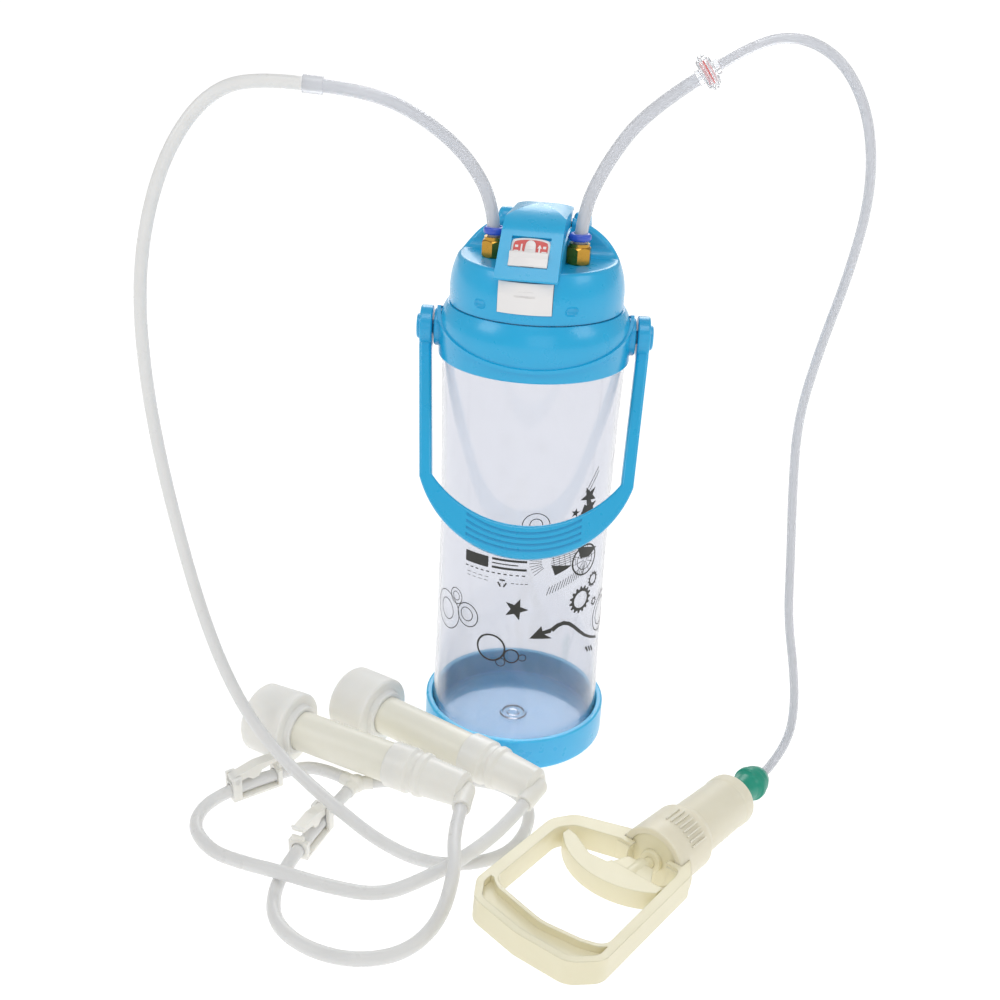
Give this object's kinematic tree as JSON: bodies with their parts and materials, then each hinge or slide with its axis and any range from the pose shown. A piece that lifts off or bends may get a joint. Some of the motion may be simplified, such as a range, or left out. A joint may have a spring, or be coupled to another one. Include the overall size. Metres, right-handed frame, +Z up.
{
  "type": "hand milking machine",
  "caption": "Hand milking machine: clear bottle with carrying lid, squeeze vacuum pump, brass fittings, hoses with pinch clamps and teat cups.",
  "frame": {"origin": "centre of the base cup's underside", "axes": "+Z up along the bottle, -Y to the front where the handle hangs, +X to the right"},
  "size_m": [0.4425, 0.3434, 0.482],
  "materials": {
    "blue_plastic": "glossy moulded plastic",
    "clear_plastic": "clear moulded plastic",
    "white_plastic": "satin moulded plastic",
    "white_rubber": "soft silicone",
    "steel": "plain steel",
    "label_red": "printed plastic",
    "brass": "machined brass",
    "ring_blue": "moulded plastic",
    "clear_hose": "clear flexible tubing",
    "white_hose": "translucent silicone tubing",
    "valve_red": "soft flap",
    "milky_plastic": "translucent moulded plastic",
    "cream_translucent": "translucent cream plastic",
    "cream_plastic": "satin cream plastic",
    "green_rubber": "smooth rubber",
    "black_rubber": "rubber ring",
    "silicone": "translucent silicone",
    "cup_cream": "smooth cream plastic"
  },
  "bodies": {
    "machine": {"base_cup": "blue_plastic", "bottle_body": "clear_plastic", "branch_hose_1": "white_hose", "branch_hose_2": "white_hose", "clamp_1_base": "milky_plastic", "clamp_1_pin": "milky_plastic", "clamp_2_base": "milky_plastic", "clamp_2_pin": "milky_plastic", "cup_1_liner": "silicone", "cup_1_mouthpiece": "silicone", "cup_1_shell": "cup_cream", "cup_1_tail": "milky_plastic", "cup_2_liner": "silicone", "cup_2_mouthpiece": "silicone", "cup_2_shell": "cup_cream", "cup_2_tail": "milky_plastic", "fitting_body_left": "brass", "fitting_body_right": "brass", "fitting_nut_left": "brass", "fitting_nut_right": "brass", "handle_pin_left": "blue_plastic", "handle_pin_right": "blue_plastic", "hinge_pin": "steel", "hose_joiner": "clear_plastic", "lid_gasket": "white_rubber", "lid_liner": "white_plastic", "lid_shell": "blue_plastic", "milk_hose_clear": "clear_hose", "milk_hose_silicone": "white_hose", "pump_barrel": "cream_translucent", "pump_flap_valve": "white_rubber", "pump_frame": "cream_plastic", "pump_nozzle": "green_rubber", "pump_rod_bush": "cream_plastic", "shoulder_collar": "blue_plastic", "spout": "white_plastic", "vacuum_hose_lower": "clear_hose", "vacuum_hose_upper": "clear_hose", "valve_diaphragm": "valve_red", "valve_inlet_half": "clear_plastic", "valve_outlet_half": "clear_plastic", "y_connector": "milky_plastic"},
    "handle": {"carry_handle": "blue_plastic"},
    "cap": {"flip_cap": "blue_plastic", "spout_seal": "white_rubber", "cap_lock_plate": "label_red"},
    "lock_slider": {"cap_lock_slider": "white_plastic"},
    "button": {"release_button": "white_plastic"},
    "push_ring_left": {"release_collar_left": "ring_blue"},
    "push_ring_right": {"release_collar_right": "ring_blue"},
    "plunger": {"pump_rod": "cream_plastic", "pump_piston": "cream_plastic", "piston_seal": "black_rubber", "finger_pull": "cream_plastic"},
    "clamp_1_arm": {"clamp_1_lever": "milky_plastic"},
    "clamp_2_arm": {"clamp_2_lever": "milky_plastic"}
  },
  "joints": [
    {"name": "handle_swing", "type": "hinge", "parent": "machine", "child": "handle", "pos_m": [0, 0, 0.2945], "axis": [-1, 0, 0], "range_deg": [0, 130]},
    {"name": "flip_cap_hinge", "type": "hinge", "parent": "machine", "child": "cap", "pos_m": [0.00248, 0.01884, 0.361], "axis": [-0.9914, 0.1305, 0], "range_deg": [0, 90]},
    {"name": "cap_lock_slide", "type": "slide", "parent": "cap", "child": "lock_slider", "axis": [0.0862, 0.655, 0.7507], "range_m": [0, 0.008]},
    {"name": "release_button_press", "type": "slide", "parent": "machine", "child": "button", "axis": [0.1305, 0.9914, 0], "range_m": [0, 0.0015], "stiffness_N_per_m": 600, "springref_m": -0.0005},
    {"name": "push_ring_left_press", "type": "slide", "parent": "machine", "child": "push_ring_left", "axis": [0, 0, -1], "range_m": [0, 0.0012], "stiffness_N_per_m": 900, "springref_m": -0.0005},
    {"name": "push_ring_right_press", "type": "slide", "parent": "machine", "child": "push_ring_right", "axis": [0, 0, -1], "range_m": [0, 0.0012], "stiffness_N_per_m": 900, "springref_m": -0.0005},
    {"name": "pump_squeeze", "type": "slide", "parent": "machine", "child": "plunger", "axis": [-0.6143, -0.7863, 0.0663], "range_m": [0, 0.042]},
    {"name": "clamp_1_close", "type": "hinge", "parent": "machine", "child": "clamp_1_arm", "pos_m": [-0.17993, -0.11043, 0.015], "axis": [-0.6157, 0.788, 0], "range_deg": [0, 4.5]},
    {"name": "clamp_2_close", "type": "hinge", "parent": "machine", "child": "clamp_2_arm", "pos_m": [-0.11732, -0.13601, 0.015], "axis": [0.9511, -0.309, 0], "range_deg": [0, 4.5]}
  ]
}
